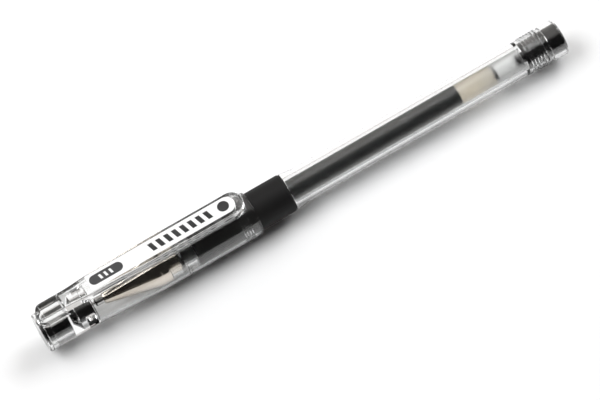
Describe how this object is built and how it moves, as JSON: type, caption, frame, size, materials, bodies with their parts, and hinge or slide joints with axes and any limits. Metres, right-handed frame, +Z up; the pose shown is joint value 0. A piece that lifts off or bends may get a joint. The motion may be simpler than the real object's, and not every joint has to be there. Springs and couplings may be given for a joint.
{
  "type": "gel pen",
  "caption": "Capped needle-tip gel pen with a clear barrel, clear clip cap, rubber grip, polished screw-on cone and a visible ink refill.",
  "frame": {"origin": "under the middle of the capped pen, at the lowest point of the cap's finger rings", "axes": "+X from the cap's crown to the pen's tail, +Z up through the clip, pen axis level"},
  "size_m": [0.14, 0.0114, 0.0143],
  "materials": {
    "clear_plastic": "clear, polished mould",
    "black_plastic": "gloss",
    "black_rubber": "satin, smooth",
    "polished_metal": "polished nickel plate",
    "tube_plastic": "milky translucent",
    "joint_plastic": "satin",
    "needle_steel": "bright drawn",
    "black_ink": "wet",
    "cream_grease": "clear to cream gel",
    "grey_plastic": "satin"
  },
  "bodies": {
    "barrel": {"barrel": "clear_plastic", "grip": "black_rubber", "tail_plug": "black_plastic"},
    "refill": {"refill_tube": "tube_plastic", "refill_joint": "joint_plastic", "tip_holder": "polished_metal", "needle": "needle_steel", "ink": "black_ink"},
    "cone": {"front_cone": "polished_metal"},
    "follower": {"follower_grease": "cream_grease", "follower_float": "grey_plastic"},
    "ball": {"writing_ball": "needle_steel"},
    "cap": {"cap_tube": "clear_plastic", "cap_crown": "clear_plastic", "cap_end_plug": "black_plastic", "nib_cap": "black_rubber"},
    "clip": {"clip_arm": "clear_plastic"}
  },
  "joints": [
    {"name": "cap_pull", "type": "slide", "parent": "barrel", "child": "cap", "axis": [-1, 0, 0], "range_m": [0, 0.046]},
    {"name": "clip_flex", "type": "hinge", "parent": "cap", "child": "clip", "pos_m": [-0.0618, 0, 0.01298], "axis": [0, -1, 0], "range_deg": [0, 3], "stiffness_Nm_per_rad": 0.05},
    {"name": "refill_advance", "type": "slide", "parent": "barrel", "child": "refill", "axis": [-1, 0, 0], "range_m": [0, 0.00195]},
    {"name": "cone_turn", "type": "hinge", "parent": "refill", "child": "cone", "pos_m": [-0.0372, 0, 0.00575], "axis": [-1, 0, 0], "range_deg": [0, 1080]},
    {"name": "follower_travel", "type": "slide", "parent": "refill", "child": "follower", "axis": [-1, 0, 0], "range_m": [0, 0.077], "deforming": ["ink"]},
    {"name": "ball_spin", "type": "hinge", "parent": "refill", "child": "ball", "pos_m": [-0.05845, 0, 0.00575], "axis": [0, 1, 0], "continuous": true}
  ],
  "couplings": [
    {"joint": "cone_turn", "follows": "refill_advance", "rad_per_m": 9666.4}
  ]
}
